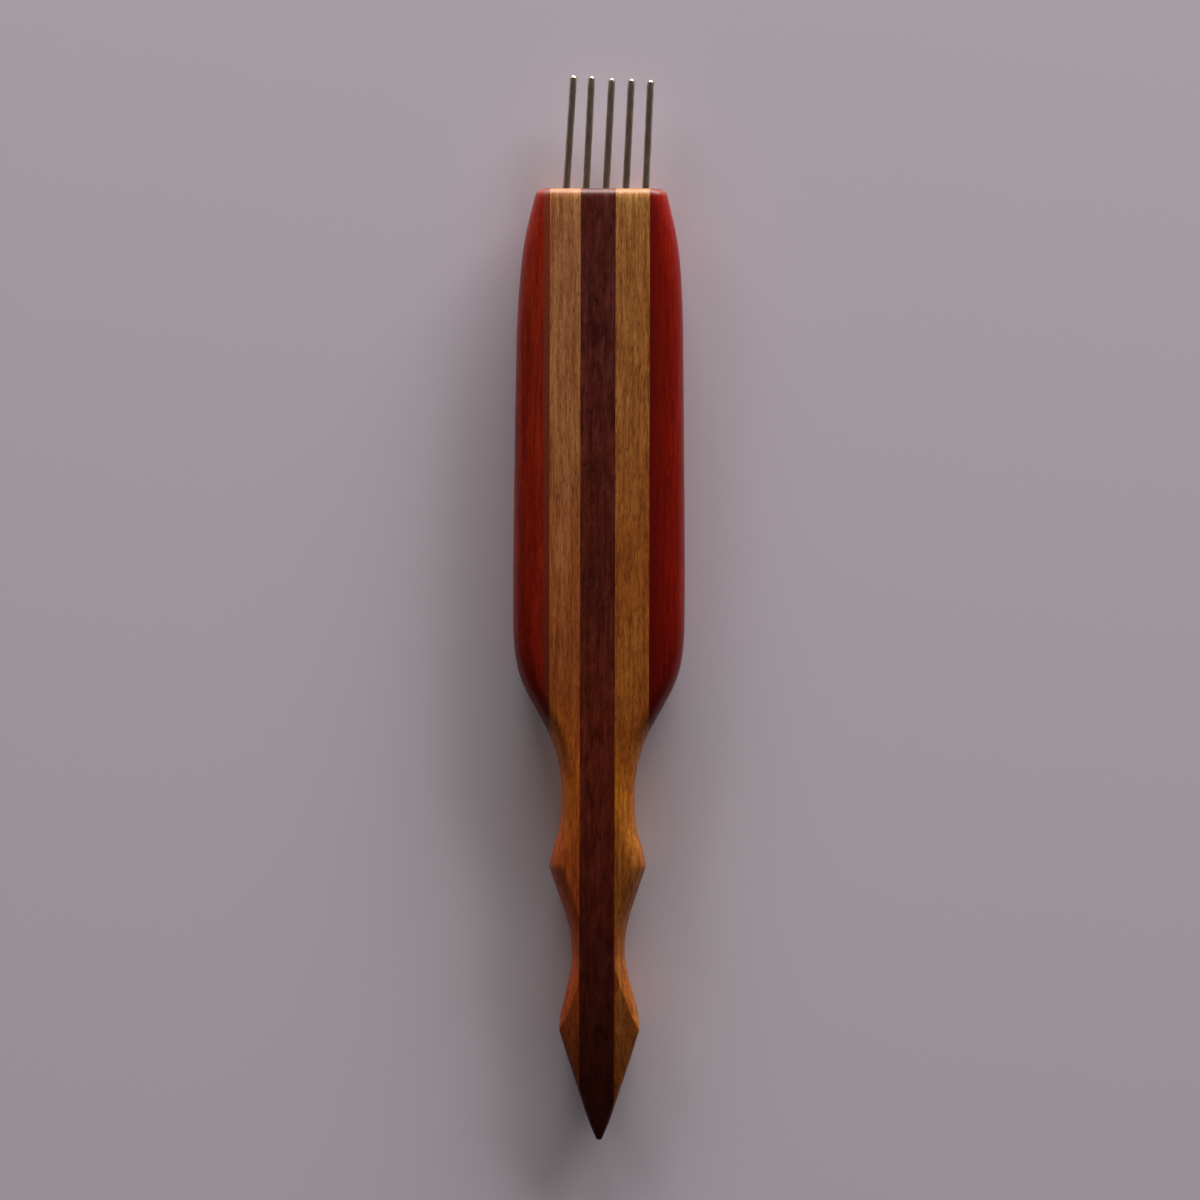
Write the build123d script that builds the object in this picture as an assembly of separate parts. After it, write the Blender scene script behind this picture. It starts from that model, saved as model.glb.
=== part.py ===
"""Laminated bookbinding awl with a row of five blunt steel tines.

Five hardwood strips are glued edge to edge and shaped as one paddle-like handle:
broad head, shoulders, neck, pointed knuckle, waist and a spear-shaped tail.
Five round-nosed wires stand in blind holes in the square end of the head.

Millimetres. +Y runs from the spear's tip to the tines, +X to the right, +Z up.
The tool lies flat, with its origin at the middle of the underside of its box.
"""
from build123d import *
import os
from math import cos, radians, sin, sqrt

# ---- driving dimensions -------------------------------------------------------
LENGTH = 170.2  # tip of the spear to the nose of the longest tine
THICKNESS = 8.0  # the blank that the handle is shaped from
END_Y = 66.65  # square end face of the head
TIP_Y = -LENGTH / 2
TIP_THICKNESS = 0.9  # what is left of the thickness at the tip
THINNING_FROM_Y = -41.4  # the two faces close in from the knuckle to the tip
END_ARRIS = 1.4  # rounding of the edges around the end face
SANDED_OFF = 0.03  # taken off each broad face after the edges are rounded over
SECTION_STEP = 3.0  # spacing of the lofted cross sections

# Glue lines between the strips, from left to right
GLUE_LINES_X = (-7.95, -3.08, 2.48, 7.90)

# Tines: 1.2 mm wire at 1/8 inch pitch
TINE_RADIUS = 0.6
TINE_NOSE_RADIUS = 0.59
TINE_PITCH = 3.175
TINE_ROW_X = 0.92  # the middle tine at the end face
TINE_SHANK = 16.0  # length held in the wood
TINE_BURIED_CHAMFER = 0.2
TINES = (  # lean towards +X in degrees, free length
    (3.6, 18.49),
    (2.7, 18.38),
    (2.9, 18.07),
    (2.8, 17.99),
    (2.5, 17.75),
)

# Outline of the handle, from the end face to the tip, in three smooth stretches
# that meet at the crisp corners of the knuckle and of the spear. Each station is
# (y, half width, change of half width per mm of y, size of the eased edges). The
# edges are rounded over, apart from the spear's, which have a narrow flat.
HEAD_AND_NECK = (
    (END_Y, 10.34, -0.226, 2.9),
    (58.75, 12.16, -0.175, 3.0),
    (49.15, 13.08, -0.056, 3.0),
    (34.75, 13.42, -0.014, 3.0),
    (1.15, 13.72, 0.0, 3.0),
    (-8.45, 13.22, 0.17, 3.0),
    (-13.6, 11.50, 0.52, 3.0),
    (-19.0, 8.50, 0.55, 2.9),
    (-24.6, 6.42, 0.22, 2.7),
    (-30.0, 5.84, 0.0, 2.6),
    (-36.2, 6.44, -0.26, 2.7),
    (-39.0, 7.26, -0.28, 2.6),
    (THINNING_FROM_Y, 7.70, -0.09, 2.4),
)
KNUCKLE_TO_SPEAR = (
    (THINNING_FROM_Y, 7.70, 0.33, 2.4),
    (-45.0, 6.46, 0.34, 2.3),
    (-48.9, 5.14, 0.31, 2.1),
    (-55.2, 4.17, 0.01, 1.9),
    (-60.5, 5.06, -0.26, 1.6),
    (-64.5, 6.08, -0.22, 1.1),
    (-67.3, 6.38, -0.03, 0.25),
)
SPEAR = (
    (-67.3, 6.38, 0.29, 0.25),
    (-71.0, 5.27, 0.316, 0.5),
    (-81.5, 1.88, 0.33, 0.5),
    (-84.0, 0.88, 0.42, 0.3),
    (TIP_Y, 0.36, 0.50, 0.12),
)

# The handle is shaped by hand, so its middle wanders a little: (y, x of the middle)
MIDDLE = (
    (END_Y, 0.16),
    (30.0, -0.06),
    (-12.0, -0.06),
    (-43.0, -0.21),
    (-66.0, 0.12),
    (TIP_Y, 0.12),
)

HALF = THICKNESS / 2
ROUGH_HALF = HALF + SANDED_OFF


def hermite(t, start, start_slope, end, end_slope):
    """Cubic through two values with given slopes, t from 0 to 1."""
    return (
        (2 * t**3 - 3 * t**2 + 1) * start
        + (t**3 - 2 * t**2 + t) * start_slope
        + (3 * t**2 - 2 * t**3) * end
        + (t**3 - t**2) * end_slope
    )


def middle(y):
    """How far the middle of the handle lies to the right of the axis."""
    for (y0, x0), (y1, x1) in zip(MIDDLE, MIDDLE[1:]):
        if y >= y1:
            return hermite((y - y0) / (y1 - y0), x0, 0, x1, 0)
    return MIDDLE[-1][1]


def half_thickness(y):
    """Full blank up to the knuckle, then a shallow arc down to the tip."""
    if y >= THINNING_FROM_Y:
        return ROUGH_HALF
    run, drop = THINNING_FROM_Y - TIP_Y, ROUGH_HALF - TIP_THICKNESS / 2
    radius = (run**2 + drop**2) / (2 * drop)
    return ROUGH_HALF - radius + sqrt(radius**2 - (THINNING_FROM_Y - y) ** 2)


def cross_section(y, half_width, edge, ease):
    """The handle's cross section in the plane across it at y, with its corners eased."""
    plane = Plane(origin=(middle(y), y, HALF), x_dir=(1, 0, 0), z_dir=(0, -1, 0))
    outline = Rectangle(2 * half_width, 2 * half_thickness(y))
    return plane * ease(outline.vertices(), edge)


def stretch(stations, ease=fillet):
    """Loft through cross sections between the first station and the last."""
    sections = [cross_section(*stations[0][:2], stations[0][3], ease)]
    for (y0, w0, s0, e0), (y1, w1, s1, e1) in zip(stations, stations[1:]):
        steps = max(1, round((y0 - y1) / SECTION_STEP))
        for i in range(1, steps + 1):
            t = i / steps
            width = hermite(t, w0, s0 * (y1 - y0), w1, s1 * (y1 - y0))
            edge = hermite(t, e0, 0, e1, 0)
            sections.append(cross_section(y0 + t * (y1 - y0), width, edge, ease))
    return loft(sections)


def handle():
    """The shaped handle in one piece, before it is divided at the glue lines."""
    body = stretch(HEAD_AND_NECK) + stretch(KNUCKLE_TO_SPEAR) + stretch(SPEAR, chamfer)
    end_face = body.faces().sort_by(Axis.Y)[-1]
    body = fillet(end_face.edges(), END_ARRIS)
    return body & Pos(0, 0, HALF) * Box(LENGTH, LENGTH, THICKNESS)


def tine(index):
    """A straight wire with a domed nose, leaning in its hole in the end face."""
    lean, free_length = TINES[index]
    base_x = TINE_ROW_X + (index - 2) * TINE_PITCH
    wire = Cylinder(
        TINE_RADIUS,
        TINE_SHANK + free_length,
        align=(Align.CENTER, Align.CENTER, Align.MIN),
    )
    wire = chamfer(wire.edges().sort_by(Axis.Z)[0], TINE_BURIED_CHAMFER)
    wire = fillet(wire.edges().sort_by(Axis.Z)[-1], TINE_NOSE_RADIUS)
    along = Vector(sin(radians(lean)), cos(radians(lean)), 0)
    foot = Vector(base_x, END_Y, HALF) - TINE_SHANK * along
    return Plane(origin=foot, x_dir=(0, 0, 1), z_dir=along) * wire


def strip(body, left, right):
    """The part of the handle between two glue lines."""
    slab = Box(
        right - left,
        LENGTH,
        THICKNESS + 2,
        align=(Align.MIN, Align.CENTER, Align.CENTER),
    )
    return body & Pos(left, 0, HALF) * slab


def main():
    os.makedirs("parts", exist_ok=True)
    tines = [tine(i) for i in range(len(TINES))]
    body = handle()
    for wire in tines:
        body = body - wire
    edges = (-LENGTH, *GLUE_LINES_X, LENGTH)
    names = (
        "red_strip_left",
        "pale_strip_left",
        "dark_strip_centre",
        "pale_strip_right",
        "red_strip_right",
    )
    for name, left, right in zip(names, edges, edges[1:]):
        export_step(strip(body, left, right), f"parts/{name}.step")
    for number, wire in enumerate(tines, start=1):
        export_step(wire, f"parts/tine_{number}.step")


main()
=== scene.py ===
"""Looks of the five-tine bookbinding awl: laminated hardwood handle and steel wires.

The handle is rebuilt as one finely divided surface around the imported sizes, then cut
at the glue lines into the five strips, and bored for the tines. Lengths in the tables
are millimetres, angles are degrees, and both are converted where they are used.
"""

from math import atan2, cos, pi, radians, sin, sqrt

import bmesh
import bpy
from mathutils import Matrix, Vector, noise


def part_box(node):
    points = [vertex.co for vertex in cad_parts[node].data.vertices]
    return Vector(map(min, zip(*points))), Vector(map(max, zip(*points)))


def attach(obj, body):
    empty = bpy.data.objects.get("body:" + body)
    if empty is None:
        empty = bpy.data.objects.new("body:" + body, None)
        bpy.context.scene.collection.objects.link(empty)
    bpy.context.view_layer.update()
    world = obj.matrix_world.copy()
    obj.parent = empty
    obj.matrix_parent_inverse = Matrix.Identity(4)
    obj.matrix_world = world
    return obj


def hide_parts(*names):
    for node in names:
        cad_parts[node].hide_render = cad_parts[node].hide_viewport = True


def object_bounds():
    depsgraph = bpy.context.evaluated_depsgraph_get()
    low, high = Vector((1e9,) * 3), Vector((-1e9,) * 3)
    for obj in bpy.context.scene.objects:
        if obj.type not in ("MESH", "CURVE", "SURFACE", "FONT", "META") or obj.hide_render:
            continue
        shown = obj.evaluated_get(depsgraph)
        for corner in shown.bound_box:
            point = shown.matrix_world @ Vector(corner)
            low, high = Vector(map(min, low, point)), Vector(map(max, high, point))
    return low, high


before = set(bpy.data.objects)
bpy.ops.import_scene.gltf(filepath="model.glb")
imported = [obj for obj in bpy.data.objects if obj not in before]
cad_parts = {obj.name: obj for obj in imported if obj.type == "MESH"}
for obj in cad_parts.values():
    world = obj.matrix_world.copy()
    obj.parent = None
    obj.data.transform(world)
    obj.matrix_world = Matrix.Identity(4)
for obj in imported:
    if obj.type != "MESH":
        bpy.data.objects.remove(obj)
CAD_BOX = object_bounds()
MM = 0.001

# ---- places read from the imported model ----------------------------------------
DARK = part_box("dark_strip_centre")
PALE_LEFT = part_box("pale_strip_left")
PALE_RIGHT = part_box("pale_strip_right")
TINES = [f"tine_{i}" for i in range(1, 6)]
END_Y = DARK[1].y / MM
TIP_Y = DARK[0].y / MM
HALF = (CAD_BOX[1].z - CAD_BOX[0].z) / 2 / MM
MIDDLE_Z = (CAD_BOX[1].z + CAD_BOX[0].z) / 2

# ---- shape of the handle --------------------------------------------------------
TIP_HALF_THICKNESS = 0.45
KNUCKLE_Y = -41.4  # the widest point of the knuckle, where the thinning starts
SPEAR_Y = -67.3  # the widest point of the spear
END_ARRIS = 1.4  # rounding of the edges around the end face
CORNER = 0.8  # rounding of the head's corners as seen from above

# Stations from the end face to the tip: (y, half width, its change per mm of y,
# radius of the rounded edges). The three stretches meet at crisp corners.
HEAD_AND_NECK = (
    (END_Y, 10.34, -0.226, 2.9),
    (58.75, 12.16, -0.175, 3.0),
    (49.15, 13.08, -0.056, 3.0),
    (34.75, 13.42, -0.014, 3.0),
    (1.15, 13.72, 0.0, 3.0),
    (-8.45, 13.22, 0.17, 3.0),
    (-13.6, 11.50, 0.52, 3.0),
    (-19.0, 8.50, 0.55, 2.9),
    (-24.6, 6.42, 0.22, 2.7),
    (-30.0, 5.84, 0.0, 2.6),
    (-36.2, 6.44, -0.26, 2.7),
    (-39.0, 7.26, -0.28, 2.6),
    (KNUCKLE_Y, 7.70, -0.09, 2.4),
)
KNUCKLE_TO_SPEAR = (
    (KNUCKLE_Y, 7.70, 0.33, 2.4),
    (-45.0, 6.46, 0.34, 2.3),
    (-48.9, 5.14, 0.31, 2.1),
    (-55.2, 4.17, 0.01, 1.9),
    (-60.5, 5.06, -0.26, 1.6),
    (-64.5, 6.08, -0.22, 1.1),
    (SPEAR_Y, 6.38, -0.03, 0.25),
)
SPEAR = (
    (SPEAR_Y, 6.38, 0.29, 0.25),
    (-71.0, 5.27, 0.316, 0.5),
    (-81.5, 1.88, 0.33, 0.5),
    (-84.0, 0.88, 0.42, 0.3),
    (TIP_Y, 0.36, 0.50, 0.12),
)
# The handle is shaped by hand, so its middle wanders a little: (y, x of the middle)
MIDDLE = (
    (END_Y, 0.16),
    (30.0, -0.06),
    (-12.0, -0.06),
    (-43.0, -0.21),
    (-66.0, 0.12),
    (TIP_Y, 0.12),
)
STEP = 0.6  # spacing of the rings along the handle
FLAT_SEGMENTS, ARC_SEGMENTS, SIDE_SEGMENTS, ARRIS_SEGMENTS = 28, 8, 6, 8
SANDED_WAVE = 0.025  # how far hand sanding leaves the surface from true
FLAT_BEVEL = 0.6  # towards the tail the rounded edges become nearly flat bevels
BEVEL_START, BEVEL_RUN = KNUCKLE_Y + 14, 28

BORE_PLAY, BORE_MOUTH, BORE_MOUTH_DEPTH = 0.02, 0.14, 0.16
TINE_SIDES, SHANK_RINGS, NOSE_RINGS = 40, 16, 10


def hermite(t, start, start_slope, end, end_slope):
    """Cubic through two values with given slopes, t from 0 to 1."""
    return (
        (2 * t**3 - 3 * t**2 + 1) * start
        + (t**3 - 2 * t**2 + t) * start_slope
        + (3 * t**2 - 2 * t**3) * end
        + (t**3 - t**2) * end_slope
    )


def middle(y):
    """How far the middle of the handle lies to the right of the axis."""
    for (y0, x0), (y1, x1) in zip(MIDDLE, MIDDLE[1:]):
        if y >= y1:
            return hermite((y - y0) / (y1 - y0), x0, 0, x1, 0)
    return MIDDLE[-1][1]


def half_thickness(y):
    """Full blank up to the knuckle, then a shallow arc down to the tip."""
    if y >= KNUCKLE_Y:
        return HALF
    run, drop = KNUCKLE_Y - TIP_Y, HALF - TIP_HALF_THICKNESS
    radius = (run**2 + drop**2) / (2 * drop)
    return HALF - radius + sqrt(radius**2 - (KNUCKLE_Y - y) ** 2)


def sections():
    """(y, half width, half thickness, edge radius) for every ring, end face first."""
    found = []
    for i in range(ARRIS_SEGMENTS, 0, -1):
        turn = i / ARRIS_SEGMENTS * pi / 2
        back, inset = END_ARRIS * (1 - sin(turn)), END_ARRIS * (1 - cos(turn))
        y, width, slope, edge = HEAD_AND_NECK[0]
        width -= slope * back + CORNER - sqrt(CORNER**2 - max(CORNER - back, 0) ** 2)
        found.append((y - back, width, HALF - inset, edge - 0.6 * inset))
    for stations in (HEAD_AND_NECK, KNUCKLE_TO_SPEAR, SPEAR):
        for (y0, w0, s0, e0), (y1, w1, s1, e1) in zip(stations, stations[1:]):
            steps = max(3, round((y0 - y1) / STEP))
            for i in range(steps):
                t = i / steps
                y = y0 + t * (y1 - y0)
                width = hermite(t, w0, s0 * (y1 - y0), w1, s1 * (y1 - y0))
                if y < END_Y - END_ARRIS - STEP / 4:
                    found.append((y, width, half_thickness(y), hermite(t, e0, 0, e1, 0)))
    y, width, _, edge = SPEAR[-1]
    found.append((y, width, half_thickness(y), edge))
    return found


def spread(start, end, count):
    """count points from start, not reaching end."""
    return [start + (end - start) * i / count for i in range(count)]


def ring(width, height, edge, flatness):
    """Cross section as (x, z): a rectangle whose rounded corners may be flattened."""
    corners = ((1, 1), (-1, 1), (-1, -1), (1, -1))
    inner_w, inner_h = width - edge, height - edge
    points = []
    for number, (sx, sz) in enumerate(corners):
        centre = Vector((sx * inner_w, sz * inner_h))
        for t in spread(0, 1, ARC_SEGMENTS):
            turn = (number + t) * pi / 2
            arc = Vector((cos(turn), sin(turn)))
            start, end = (Vector((cos(a), sin(a))) for a in (number * pi / 2, (number + 1) * pi / 2))
            points.append(centre + edge * arc.lerp(start.lerp(end, t), flatness))
        nx, nz = corners[(number + 1) % 4]
        if number % 2 == 0:
            for x in spread(sx * inner_w, nx * inner_w, FLAT_SEGMENTS):
                points.append((x, sz * height))
        else:
            for z in spread(sz * inner_h, nz * inner_h, SIDE_SEGMENTS):
                points.append((sx * width, z))
    return points


def handle_surface():
    """The whole handle as one closed surface of quads."""
    bm = bmesh.new()
    rings = []
    for y, width, height, edge in sections():
        loop = []
        flatness = FLAT_BEVEL * min(max((BEVEL_START - y) / BEVEL_RUN, 0), 1)
        for x, z in ring(width, height, edge, flatness):
            wave = SANDED_WAVE * noise.noise(Vector((x / 5, y / 9, z / 5 + 7)))
            place = Vector((x * (1 - wave / 8) + middle(y), y, z * (1 - abs(wave) / 6)))
            loop.append(bm.verts.new((place.x * MM, place.y * MM, place.z * MM + MIDDLE_Z)))
        rings.append(loop)
    count = len(rings[0])
    for a, b in zip(rings, rings[1:]):
        for i in range(count):
            j = (i + 1) % count
            bm.faces.new((a[i], a[j], b[j], b[i]))
    bm.faces.new(rings[0][::-1])
    bm.faces.new(rings[-1])
    bmesh.ops.recalc_face_normals(bm, faces=bm.faces)
    return bm


def cut(bm, x, side):
    """Saws the surface at a glue line, keeps what is on that side, and closes it."""
    everything = bm.verts[:] + bm.edges[:] + bm.faces[:]
    made = bmesh.ops.bisect_plane(
        bm, geom=everything, plane_co=(x, 0, 0), plane_no=(side, 0, 0), clear_inner=True
    )
    edges = [g for g in made["geom_cut"] if isinstance(g, bmesh.types.BMEdge)]
    bmesh.ops.holes_fill(bm, edges=edges)


def new_object(name, mesh):
    piece = bpy.data.objects.new(name, mesh)
    bpy.context.scene.collection.objects.link(piece)
    return piece


def smooth(mesh, angle=22):
    mesh.shade_smooth()
    mesh.set_sharp_from_angle(angle=radians(angle))


def strip_piece(name, surface, left, right):
    """One glued strip: the handle between two glue lines."""
    bm = surface.copy()
    if left is not None:
        cut(bm, left, 1)
    if right is not None:
        cut(bm, right, -1)
    mesh = bpy.data.meshes.new(name)
    bm.to_mesh(mesh)
    bm.free()
    return new_object(name, mesh)


def lathe(name, profile, foot, along, sides=TINE_SIDES):
    """A closed solid of revolution: profile is (distance along, radius) in metres."""
    bm = bmesh.new()
    turn = Vector((0, 0, 1)).rotation_difference(along).to_matrix().to_4x4()
    place = Matrix.Translation(foot) @ turn
    rings = []
    for distance, radius in profile:
        angles = [2 * pi * i / sides for i in range(sides)] if radius > 0 else [0]
        spots = [Vector((radius * cos(a), radius * sin(a), distance)) for a in angles]
        rings.append([bm.verts.new(place @ p) for p in spots])
    for a, b in zip(rings, rings[1:]):
        for i in range(sides):
            j = (i + 1) % sides
            corners = (a[i % len(a)], a[j % len(a)], b[j % len(b)], b[i % len(b)])
            bm.faces.new(tuple(dict.fromkeys(corners)))
    bmesh.ops.recalc_face_normals(bm, faces=bm.faces)
    mesh = bpy.data.meshes.new(name)
    bm.to_mesh(mesh)
    bm.free()
    return new_object(name, mesh)


def tine_line(node):
    """(foot, direction, radius, length) of a leaning tine, from its packed box."""
    low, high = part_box(node)
    radius = (high.z - low.z) / 2
    lean = atan2(high.x - low.x - 2 * radius, high.y - low.y - radius)
    along = Vector((sin(lean), cos(lean), 0))
    foot = Vector((low.x + radius * cos(lean), low.y + radius * sin(lean), low.z + radius))
    length = (high.y - foot.y - radius * (1 - cos(lean))) / cos(lean)
    return foot, along, radius, length


def tine_piece(node):
    """A straight drawn wire with a domed nose and a small chamfer at its foot."""
    foot, along, radius, length = tine_line(node)
    body = length - radius
    profile = [(0, 0), (0, 0.6 * radius), (0.4 * radius, radius)]
    profile += [(d, radius) for d in spread(MM, body, SHANK_RINGS)]
    for i in range(NOSE_RINGS):
        turn = i / NOSE_RINGS * pi / 2
        profile.append((body + radius * sin(turn), radius * cos(turn)))
    profile.append((length, 0))
    piece = lathe(f"wire_{node}", profile, foot, along)
    smooth(piece.data)
    return piece


def bore(pieces):
    """Drills the tines' blind holes, with slightly eased mouths, into the strips."""
    for node in TINES:
        foot, along, radius, _ = tine_line(node)
        mouth = (END_Y * MM - foot.y) / along.y
        hole = radius + BORE_PLAY * MM
        profile = [
            (0, 0),
            (0, hole),
            (mouth - BORE_MOUTH_DEPTH * MM, hole),
            (mouth + BORE_MOUTH_DEPTH * MM, hole + 2 * BORE_MOUTH * MM),
            (mouth + BORE_MOUTH_DEPTH * MM, 0),
        ]
        drill = lathe("drill", profile, foot, along)
        for piece in pieces:
            modifier = piece.modifiers.new("bore", "BOOLEAN")
            modifier.object, modifier.solver = drill, "EXACT"
            bpy.context.view_layer.update()
            graph = bpy.context.evaluated_depsgraph_get()
            bored = bpy.data.meshes.new_from_object(piece.evaluated_get(graph), depsgraph=graph)
            piece.modifiers.clear()
            piece.data = bored
        bpy.data.objects.remove(drill)


# ---- materials --------------------------------------------------------------------
WORN_RIM_AND_GLARE = (0.50, 0.36, 0.30)  # the handled rim of the end face, paler by wear and by a painted highlight
RIM_START, RIM_FULL = 1.3, 0.4  # distances from the end face
RIPPLE_PITCH = 0.42


class Material:
    """Short-hand for a node material around a Principled shader."""

    def __init__(self, name, **inputs):
        self.made = bpy.data.materials.new(name)
        self.made.use_nodes = True
        self.tree = self.made.node_tree
        self.shader = self.tree.nodes["Principled BSDF"]
        for socket, value in inputs.items():
            self.shader.inputs[socket.replace("_", " ")].default_value = value

    def add(self, kind, inputs, output=0, **settings):
        node = self.tree.nodes.new("ShaderNode" + kind)
        for name, value in settings.items():
            setattr(node, name, value)
        for name, value in inputs.items():
            if isinstance(value, bpy.types.NodeSocket):
                self.tree.links.new(value, node.inputs[name])
            else:
                node.inputs[name].default_value = value
        return node.outputs[output]

    def link(self, source, socket):
        self.tree.links.new(source, self.shader.inputs[socket])

    def place(self, scale, shift=(0, 0, 0), turn=(0, 0, 0)):
        """The piece's own coordinates, in cycles per millimetre along each axis."""
        own = self.add("TexCoord", {}, "Object")
        metres = tuple(s / MM for s in scale)
        turned = {"Vector": own, "Rotation": tuple(radians(a) for a in turn)}
        rotated = self.add("Mapping", turned)
        return self.add("Mapping", {"Vector": rotated, "Location": shift, "Scale": metres})

    def own(self, axis):
        """The piece's own x, y or z in metres."""
        place = self.add("TexCoord", {}, "Object")
        return self.add("SeparateXYZ", {"Vector": place}, axis)

    def along(self, stops):
        """A colour that changes along the handle: stops are (y in mm, colour)."""
        share = self.remap(self.own(1), TIP_Y * MM, END_Y * MM)
        colour = self.add("ValToRGB", {"Fac": share})
        elements = colour.node.color_ramp.elements
        elements.remove(elements[1])
        for number, (place, value) in enumerate(stops):
            position = (place - TIP_Y) / (END_Y - TIP_Y)
            element = elements[0] if number == 0 else elements.new(position)
            element.position, element.color = position, (*value, 1)
        return colour

    def near(self, x, reach):
        """1 up to reach[0] from the glue line at x, fading to 0 at reach[1], in mm."""
        distance = self.maths("ABSOLUTE", self.maths("SUBTRACT", self.own(0), x * MM))
        return self.remap(distance, reach[1] * MM, reach[0] * MM)

    def noise(self, place, detail=3.0, rough=0.55, warp=0.0):
        inputs = {
            "Vector": place, "Scale": 1.0, "Detail": detail, "Roughness": rough,
            "Distortion": warp,
        }
        return self.add("TexNoise", inputs)

    def remap(self, value, low, high, to_low=0.0, to_high=1.0):
        inputs = {
            "Value": value, "From Min": low, "From Max": high,
            "To Min": to_low, "To Max": to_high,
        }
        return self.add("MapRange", inputs)

    def maths(self, operation, a, b=0.0):
        return self.add("Math", {0: a, 1: b}, operation=operation)

    def mix(self, share, a, b, blend="MIX"):
        """Colour a with b laid over it by share."""
        node = self.tree.nodes.new("ShaderNodeMix")
        node.data_type, node.blend_type = "RGBA", blend
        for index, value in ((0, share), (6, a), (7, b)):
            if isinstance(value, bpy.types.NodeSocket):
                self.tree.links.new(value, node.inputs[index])
            else:
                node.inputs[index].default_value = value if index == 0 else (*value, 1)
        return node.outputs[2]


def wood(name, seed, colours, tones_and_painted_light, seam, bands, streaks, pores, mottle, ripple, gloss, shine):
    """Oiled hardwood with its grain along Y.

    colours: (deep, body, light) linear colours. tones: (y, factors) along the handle,
    partly the wood's own change of tone and partly painted sheen and painted shade.
    seam: (x, (start, end), colour) of a darker band beside a glue line, or None; on the
    right red strip this band is painted shade. The other values are strengths from 0 to 1
    of the broad bands, fine fibre streaks, open pores, cloudy mottle and ripple marks.
    gloss is the mean roughness, shine the strength of the reflections.
    """
    m = Material(name, Roughness=gloss, Specular_IOR_Level=shine)
    deep, body, light = colours
    drift = (seed * 3.1, seed * 1.7, seed * 2.3)
    band = m.noise(m.place((0.55, 0.016, 0.25), drift), 4.0, 0.55, 0.8)
    fibre = m.noise(m.place((2.1, 0.11, 2.1), drift), 4.0, 0.7, 0.25)
    hair = m.noise(m.place((5.5, 0.6, 5.5), drift), 3.0, 0.7)
    cloud = m.noise(m.place((0.55, 0.17, 0.5), drift, (0, 0, 4)), 5.0, 0.65, 1.1)
    pore = m.noise(m.place((6.5, 0.75, 6.5), drift), 2.0, 0.5)

    colour = m.mix(m.remap(band, 0.35, 0.65, 0.0, bands), body, light)
    colour = m.mix(m.remap(cloud, 0.52, 0.66, 0.0, mottle), colour, light)
    colour = m.mix(m.remap(cloud, 0.48, 0.34, 0.0, mottle), colour, deep)
    colour = m.mix(m.remap(fibre, 0.46, 0.68, 0.0, streaks), colour, deep)
    colour = m.mix(m.remap(fibre, 0.46, 0.30, 0.0, streaks), colour, light)
    colour = m.mix(m.remap(hair, 0.50, 0.70, 0.0, 0.8 * streaks), colour, deep)
    colour = m.mix(m.remap(hair, 0.46, 0.30, 0.0, 0.8 * streaks), colour, light)
    holes = m.remap(pore, 0.60, 0.68, 0.0, pores)
    colour = m.mix(holes, colour, tuple(0.6 * c for c in deep))
    if ripple:
        inputs = {
            "Vector": m.place((0.02, 1 / RIPPLE_PITCH, 0.02), drift), "Scale": 0.5,
            "Distortion": 0.6, "Detail": 1.0,
        }
        wave = m.add("TexWave", inputs, 1, bands_direction="Y")
        colour = m.mix(m.remap(wave, 0.3, 0.9, 0.0, ripple), colour, deep)
    # Darkens the wood beside a glue line; on the right red strip this is painted shade.
    if seam:
        x, reach, band_colour = seam
        colour = m.mix(m.near(x, reach), colour, band_colour)
    # Multiplies in the factors along the handle: the wood's own change of tone together with a
    # painted sheen towards the end face and painted light and shade on the neck and tail.
    colour = m.mix(1.0, colour, m.along(tones_and_painted_light), "MULTIPLY")
    facing = m.add("SeparateXYZ", {"Vector": m.add("NewGeometry", {}, "Normal")}, 1)
    facing = m.maths("ABSOLUTE", facing)
    # Pales the rim of the end face: partly handling wear, partly a painted highlight where the light
    # glances off the rounded edge.
    near_end = m.remap(m.own(1), (END_Y - RIM_START) * MM, (END_Y - RIM_FULL) * MM, 0.0, 0.32)
    rim = m.maths("MULTIPLY", near_end, m.remap(facing, 0.98, 0.65))
    colour = m.mix(rim, colour, WORN_RIM_AND_GLARE)
    colour = m.mix(m.remap(facing, 0.85, 0.99, 0.0, 0.6), colour, deep)
    m.link(colour, "Base Color")

    height = m.maths("SUBTRACT", m.maths("MULTIPLY", fibre, 0.35), holes)
    bump = {"Height": height, "Strength": 0.35, "Distance": 0.03 * MM}
    m.link(m.add("Bump", bump), "Normal")
    rough = m.remap(m.maths("ADD", fibre, holes), 0.3, 1.4, gloss - 0.04, gloss + 0.12)
    worn = m.remap(facing, 0.35, 0.75, 0.0, 0.24)
    m.link(m.maths("ADD", rough, worn), "Roughness")
    return m.made


def steel(name):
    """Drawn steel wire, lightly tarnished, with lengthwise drawing marks."""
    m = Material(name, Metallic=1.0)
    marks = m.noise(m.place((14.0, 0.12, 14.0)), 3.0, 0.6)
    tarnish = m.noise(m.place((1.1, 0.5, 1.1)), 3.0, 0.6)
    colour = m.mix(m.remap(tarnish, 0.35, 0.70), (0.74, 0.64, 0.54), (0.54, 0.44, 0.35))
    m.link(colour, "Base Color")
    m.link(m.remap(marks, 0.3, 0.7, 0.25, 0.36), "Roughness")
    m.link(m.add("Bump", {"Height": marks, "Strength": 0.15, "Distance": 0.01 * MM}), "Normal")
    return m.made


def paper(name):
    """Plain matt floor."""
    m = Material(name, Roughness=0.9)
    m.shader.inputs["Base Color"].default_value = (0.80, 0.745, 0.82, 1)
    return m.made


# ---- the stage --------------------------------------------------------------------
FLOOR_REACH = 4.0  # metres from the tool to the edges of the floor
LIGHT_DISTANCE = 2.2  # metres
DAYLIGHT = (1.0, 0.965, 0.975)

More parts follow.
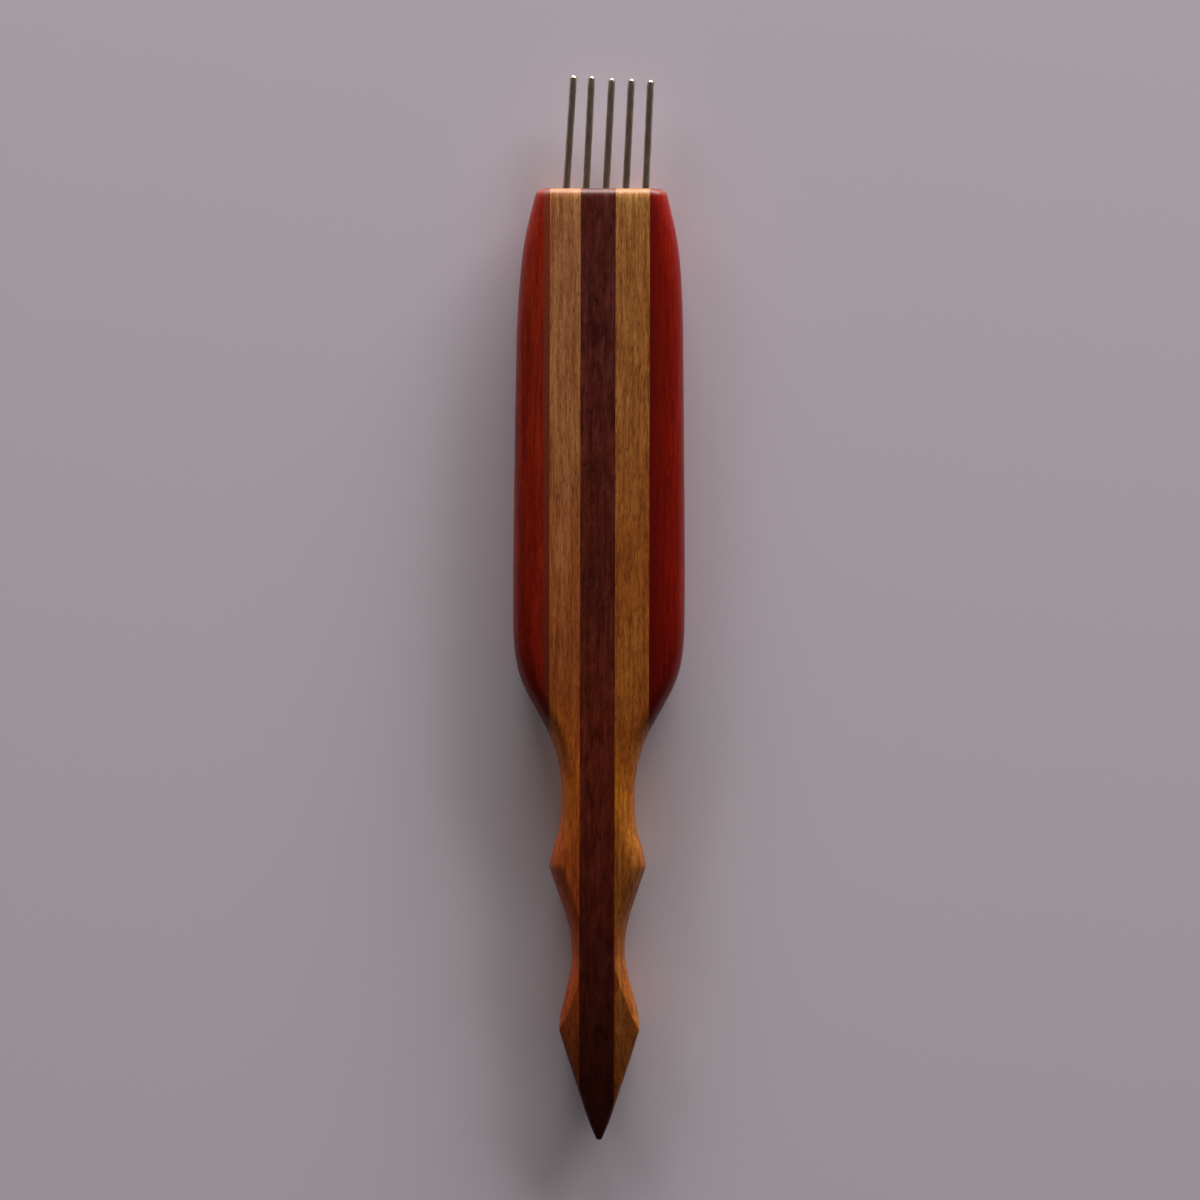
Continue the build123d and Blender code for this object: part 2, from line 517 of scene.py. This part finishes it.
# (azimuth from +Y towards +X, elevation, (width, height) in metres, share of the light)
LIGHTS = {
    "window": (4, 9.5, (1.6, 0.56), 0.74),
    "left_card": (-37, 18, (0.8, 0.6), 0.155),
    "right_card": (36, 13, (0.9, 0.6), 0.36),
}
# The room's colour, as (sine of the elevation, colour)
ROOM_LOW = (0.05, (0.085, 0.08, 0.083))
ROOM_HIGH = (0.75, (0.045, 0.033, 0.022))

FRAME_WIDTH, CAMERA_HEIGHT = 0.192, 0.5  # metres
CAMERA_X, CAMERA_Y, CAMERA_ROLL = 0.1, 1.15, 0.12


def lay_floor():
    mesh = bpy.data.meshes.new("floor")
    reach, low = FLOOR_REACH, CAD_BOX[0].z
    corners = [(-reach, -reach, low), (reach, -reach, low), (reach, reach, low), (-reach, reach, low)]
    mesh.from_pydata(corners, [], [(0, 1, 2, 3)])
    floor = new_object("floor", mesh)
    mesh.materials.append(paper("floor_paper"))


def soft_light(name, azimuth, elevation, size, share):
    """A soft oblong of daylight that faces the tool.

    share is the brightness that it alone would give a white floor under the tool.
    """
    a, e = radians(azimuth), radians(elevation)
    data = bpy.data.lights.new(name, "AREA")
    data.shape, data.size, data.size_y = "RECTANGLE", *size
    data.energy, data.color = share * pi * LIGHT_DISTANCE**2 / sin(e), DAYLIGHT
    lamp = bpy.data.objects.new(name, data)
    bpy.context.scene.collection.objects.link(lamp)
    lamp.location = LIGHT_DISTANCE * Vector((sin(a) * cos(e), cos(a) * cos(e), sin(e)))
    lamp.rotation_euler = (-lamp.location).to_track_quat("-Z", "Y").to_euler()
    lamp.visible_camera = False


def light_room():
    """A dim room: pale walls low down, a warm and darker ceiling."""
    world = bpy.data.worlds.new("room")
    world.use_nodes = True
    tree = world.node_tree
    place = tree.nodes.new("ShaderNodeTexCoord")
    split = tree.nodes.new("ShaderNodeSeparateXYZ")
    ramp = tree.nodes.new("ShaderNodeValToRGB")
    low, high = ramp.color_ramp.elements
    low.position, low.color = ROOM_LOW[0], (*ROOM_LOW[1], 1)
    high.position, high.color = ROOM_HIGH[0], (*ROOM_HIGH[1], 1)
    tree.links.new(place.outputs["Generated"], split.inputs[0])
    tree.links.new(split.outputs["Z"], ramp.inputs["Fac"])
    tree.links.new(ramp.outputs["Color"], tree.nodes["Background"].inputs["Color"])
    bpy.context.scene.world = world


def set_camera():
    """Straight above the tool, with the tines at the top of the picture."""
    data = bpy.data.cameras.new("camera")
    camera = bpy.data.objects.new("camera", data)
    bpy.context.scene.collection.objects.link(camera)
    data.sensor_width = 36.0
    data.lens = data.sensor_width * (CAMERA_HEIGHT - MIDDLE_Z) / FRAME_WIDTH
    data.clip_start = 0.01
    camera.location = (CAMERA_X * MM, CAMERA_Y * MM, CAMERA_HEIGHT)
    camera.rotation_euler = (0, 0, radians(CAMERA_ROLL))
    bpy.context.scene.camera = camera


# ---- the tool ---------------------------------------------------------------------
# Linear colours of each wood: (deep, body, light)
# Both red strips are one wood; the left one's higher green and blue is a painted sheen.
RED_LEFT_WITH_SHEEN = ((0.12, 0.005, 0.0018), (0.25, 0.010, 0.0026), (0.36, 0.030, 0.008))
RED_RIGHT = ((0.105, 0.002, 0.0008), (0.22, 0.005, 0.001), (0.32, 0.014, 0.003))
PALE = ((0.22, 0.045, 0.007), (0.42, 0.120, 0.024), (0.58, 0.22, 0.065))
GOLD = ((0.19, 0.037, 0.005), (0.40, 0.120, 0.018), (0.58, 0.225, 0.045))
DARK_RED = ((0.040, 0.003, 0.001), (0.090, 0.009, 0.003), (0.14, 0.024, 0.012))

# Handling, oil and age change each wood along the handle: (y, factors on its colour).
# The factors also hold painted light: a painted sheen that lightens and cools the colour
# towards the end face, and painted light and shade where the neck, knuckle and tail
# turn towards or away from the light.
RED_TONES_AND_PAINTED_LIGHT = (
    (-14, (0.7, 0.45, 0.35)),
    (5, (1.0, 0.85, 0.85)),
    (45, (1.15, 1.3, 1.3)),
    (66, (1.5, 1.5, 1.5)),
)
LEFT_TONES_AND_PAINTED_LIGHT = (
    (-70, (0.5, 0.34, 0.3)),
    (-56, (1.12, 0.56, 0.2)),
    (-42, (0.8, 0.48, 0.25)),
    (-28, (1.35, 1.12, 0.38)),
    (-14, (0.8, 0.6, 0.38)),
    (2, (1.0, 0.87, 0.85)),
    (30, (1.16, 1.4, 1.85)),
    (60, (1.13, 1.35, 2.0)),
    (66, (1.45, 1.95, 2.6)),
)
RIGHT_TONES_AND_PAINTED_LIGHT = (
    (-70, (0.88, 0.76, 0.7)),
    (-60, (1.1, 0.98, 0.7)),
    (-44, (0.7, 0.62, 0.48)),
    (-30, (1.38, 1.32, 0.5)),
    (-20, (0.8, 0.6, 0.35)),
    (-10, (1.05, 0.95, 0.7)),
    (8, (0.98, 0.8, 0.6)),
    (30, (1.12, 1.2, 1.35)),
    (58, (1.2, 1.4, 1.8)),
    (66, (1.65, 2.3, 3.4)),
)
DARK_TONES_AND_PAINTED_LIGHT = (
    (-84, (0.5, 0.26, 0.28)),
    (-66, (0.74, 0.65, 0.65)),
    (-45, (1.0, 0.9, 0.9)),
    (-18, (1.4, 1.4, 1.1)),
    (2, (1.1, 1.15, 1.3)),
    (20, (1.3, 1.6, 1.8)),
    (50, (1.25, 1.65, 2.7)),
    (66, (1.35, 1.9, 3.0)),
)

# A darker band beside each red strip's glue line: (where it starts to fade, where it ends)
# from the line, and its colour. On the right red strip it is painted shade on the flat
# face next to the glue line; on the left it is a brown band beside the line.
DARK_BAND_LEFT = ((0.9, 1.1), (0.19, 0.029, 0.013))
PAINTED_SHADE_RIGHT = ((0.0, 2.5), (0.14, 0.004, 0.002))


def build_tool():
    surface = handle_surface()
    lines = (None, PALE_LEFT[0].x, DARK[0].x, DARK[1].x, PALE_RIGHT[1].x, None)
    left, right = PALE_LEFT[0].x / MM, PALE_RIGHT[1].x / MM
    red = dict(
        tones_and_painted_light=RED_TONES_AND_PAINTED_LIGHT, bands=0.5, streaks=0.8, pores=0.25, mottle=0.3, ripple=0.0,
        gloss=0.30, shine=0.3,
    )
    pale = dict(
        seam=None, bands=0.6, streaks=0.85, pores=0.75, ripple=0.16, gloss=0.38, shine=0.4,
    )
    dark = dict(
        colours=DARK_RED, tones_and_painted_light=DARK_TONES_AND_PAINTED_LIGHT, seam=None, bands=0.4, streaks=0.8, pores=0.4,
        mottle=1.0, ripple=0.0, gloss=0.34, shine=0.35,
    )
    left_red = dict(red, colours=RED_LEFT_WITH_SHEEN, seam=(left, *DARK_BAND_LEFT))
    left_pale = dict(pale, colours=PALE, tones_and_painted_light=LEFT_TONES_AND_PAINTED_LIGHT, mottle=0.2)
    right_pale = dict(pale, colours=GOLD, tones_and_painted_light=RIGHT_TONES_AND_PAINTED_LIGHT, mottle=0.55)
    right_red = dict(red, colours=RED_RIGHT, seam=(right, *PAINTED_SHADE_RIGHT))
    strips = (
        ("red_strip_left", "red_wood", left_red),
        ("pale_strip_left", "pale_wood", left_pale),
        ("dark_strip_centre", "dark_wood", dark),
        ("pale_strip_right", "pale_wood", right_pale),
        ("red_strip_right", "red_wood", right_red),
    )
    pieces = []
    for number, (node, slot, looks) in enumerate(strips):
        piece = strip_piece(f"shaped_{node}", surface, lines[number], lines[number + 1])
        pieces.append((piece, node, slot, wood(f"wood_{node}", number + 1, **looks)))
    surface.free()
    bore([piece for piece, node, _, _ in pieces if not node.startswith("red")])
    for piece, _, _, _ in pieces:
        smooth(piece.data)
    wire = steel("drawn_steel")
    pieces += [(tine_piece(node), node, "steel", wire) for node in TINES]
    for piece, node, slot, material in pieces:
        piece.data.materials.clear()
        piece.data.materials.append(material)
        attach(piece, "root")
        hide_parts(node)


set_camera()
lay_floor()
for lamp_name, settings in LIGHTS.items():
    soft_light(lamp_name, *settings)
light_room()
bpy.context.scene.view_settings.view_transform = "Standard"
build_tool()
